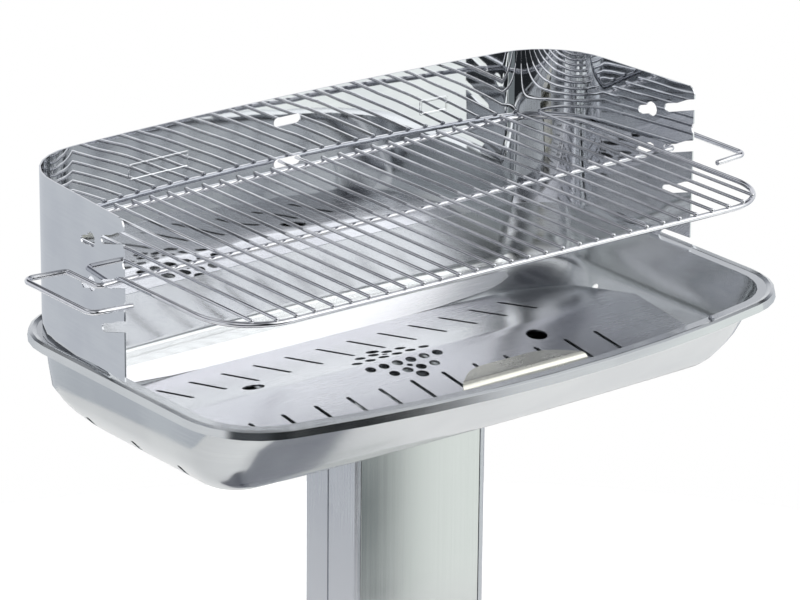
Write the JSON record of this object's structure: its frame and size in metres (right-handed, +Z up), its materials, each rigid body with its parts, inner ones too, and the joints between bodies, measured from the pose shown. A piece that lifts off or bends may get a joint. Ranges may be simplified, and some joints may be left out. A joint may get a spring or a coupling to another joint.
{
  "type": "pedestal charcoal barbecue",
  "caption": "Free-standing stainless charcoal barbecue: wide shallow fire tray, folded grate, notched windshield and height-adjustable wire grill on a slim column and base.",
  "frame": {"origin": "on the ground under the middle of the tray's outline", "axes": "+X to the right, +Y to the back, where the windshield stands, +Z up"},
  "size_m": [0.7106, 0.3958, 0.8595],
  "materials": {
    "tray_steel": "bright annealed, half glossy",
    "grate_steel": "brushed",
    "grip_steel": "polished",
    "shield_steel": "mirror polished",
    "grill_wire": "bright drawn wire",
    "bracket_steel": "satin",
    "column_steel": "satin",
    "panel_steel": "bright annealed",
    "base_steel": "satin",
    "fastener_steel": "plain machined",
    "foot_rubber": "matt moulded"
  },
  "bodies": {
    "stand": {"fire_tray": "tray_steel", "tray_carrier": "bracket_steel", "column_profile_left": "column_steel", "column_profile_right": "column_steel", "column_front_panel": "panel_steel", "column_rear_panel": "panel_steel", "column_foot_plate": "bracket_steel", "base_plate": "base_steel", "tray_bolt_1": "fastener_steel", "tray_bolt_2": "fastener_steel", "tray_bolt_3": "fastener_steel", "tray_bolt_4": "fastener_steel", "tray_nut_1": "fastener_steel", "tray_nut_2": "fastener_steel", "tray_nut_3": "fastener_steel", "tray_nut_4": "fastener_steel", "carrier_screw_1": "fastener_steel", "carrier_screw_2": "fastener_steel", "carrier_screw_3": "fastener_steel", "carrier_screw_4": "fastener_steel", "foot_plate_screw_1": "fastener_steel", "foot_plate_screw_2": "fastener_steel", "foot_plate_screw_3": "fastener_steel", "foot_plate_screw_4": "fastener_steel", "base_bolt_1": "fastener_steel", "base_bolt_2": "fastener_steel", "base_bolt_3": "fastener_steel", "base_bolt_4": "fastener_steel", "base_nut_1": "fastener_steel", "base_nut_2": "fastener_steel", "base_nut_3": "fastener_steel", "base_nut_4": "fastener_steel", "foot_screw_1": "fastener_steel", "foot_screw_2": "fastener_steel", "foot_screw_3": "fastener_steel", "foot_screw_4": "fastener_steel", "rim_stud": "fastener_steel", "rubber_foot_1": "foot_rubber", "rubber_foot_2": "foot_rubber", "rubber_foot_3": "foot_rubber", "rubber_foot_4": "foot_rubber"},
    "grate": {"charcoal_grate": "grate_steel", "grate_grip": "grip_steel"},
    "shield": {"windshield": "shield_steel"},
    "grill": {"cooking_grill": "grill_wire"}
  },
  "joints": [
    {"name": "grate_lift", "type": "slide", "parent": "stand", "child": "grate", "axis": [0, 0, 1], "range_m": [0, 0.08]},
    {"name": "shield_lift", "type": "slide", "parent": "stand", "child": "shield", "axis": [0, 0, 1], "range_m": [0, 0.06]},
    {"name": "grill_slide", "type": "slide", "parent": "shield", "child": "grill", "axis": [0, -0.9588, 0.2841], "range_m": [0, 0.06]}
  ]
}
